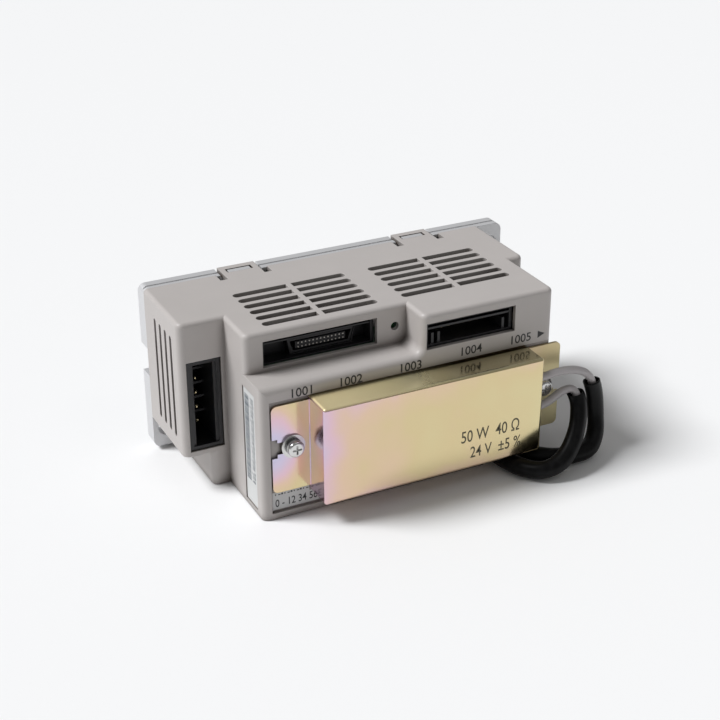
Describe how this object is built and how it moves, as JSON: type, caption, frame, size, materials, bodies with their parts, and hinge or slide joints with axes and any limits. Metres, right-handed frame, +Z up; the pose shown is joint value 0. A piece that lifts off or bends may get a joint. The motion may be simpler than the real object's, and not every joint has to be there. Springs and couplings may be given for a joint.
{
  "type": "stepper driver module",
  "caption": "Stepper driver module: slotted moulded cover on an aluminium back plate, boards and connectors inside, and a sheet-cased braking resistor with two sleeved leads on the front.",
  "frame": {"origin": "middle of the underside of the module's own box, without the leads, sleeves and plug", "axes": "+X along the module to the right, +Y from the resistor to the back plate, +Z up through the air slots"},
  "size_m": [0.1354, 0.0845, 0.0585],
  "materials": {
    "plate_aluminium": "satin, fine brushed",
    "cover_plastic": "fine moulded texture",
    "connector_black": "moulded",
    "contact_metal": "plated",
    "shell_metal": "plated",
    "zinc_steel": "zinc plated",
    "passivated_steel": "yellow passivated, bright",
    "ceramic": "fired",
    "lead_insulation": "smooth",
    "sleeve_rubber": "matt",
    "plug_nylon": "moulded",
    "board_laminate": "solder mask",
    "chip_epoxy": "moulded",
    "pad_silicone": "soft",
    "capacitor_film": "shrink film",
    "ferrite": "sintered",
    "winding_tape": "tape",
    "insert_brass": "turned",
    "lamp_lens": "clear tinted",
    "label_paper": "paper"
  },
  "bodies": {
    "root": {"back_plate": "plate_aluminium", "cover": "cover_plastic", "board_standoffs": "insert_brass", "power_board": "board_laminate", "board_screws": "zinc_steel", "power_module": "chip_epoxy", "thermal_pad": "pad_silicone", "bus_capacitors": "capacitor_film", "filter_choke": "ferrite", "transformer_core": "ferrite", "transformer_coil": "winding_tape", "link_header": "connector_black", "link_socket": "connector_black", "control_board": "board_laminate", "control_screws": "zinc_steel", "control_chips": "chip_epoxy", "status_light": "lamp_lens", "power_connector_body": "connector_black", "power_connector_pins": "contact_metal", "signal_connector_body": "connector_black", "signal_connector_shell": "shell_metal", "signal_connector_contacts": "contact_metal", "wide_connector_body": "connector_black", "wide_connector_pins": "contact_metal", "side_connector_body": "connector_black", "side_connector_pins": "contact_metal", "resistor_case": "passivated_steel", "resistor_core": "ceramic", "flat_washers": "zinc_steel", "spring_washers": "zinc_steel", "resistor_screws": "zinc_steel", "threaded_inserts": "insert_brass", "upper_lead": "lead_insulation", "lower_lead": "lead_insulation", "upper_sleeve": "sleeve_rubber", "lower_sleeve": "sleeve_rubber", "lead_plug": "plug_nylon", "plug_header": "plug_nylon", "rating_label": "label_paper", "code_label": "label_paper"}
  },
  "joints": []
}
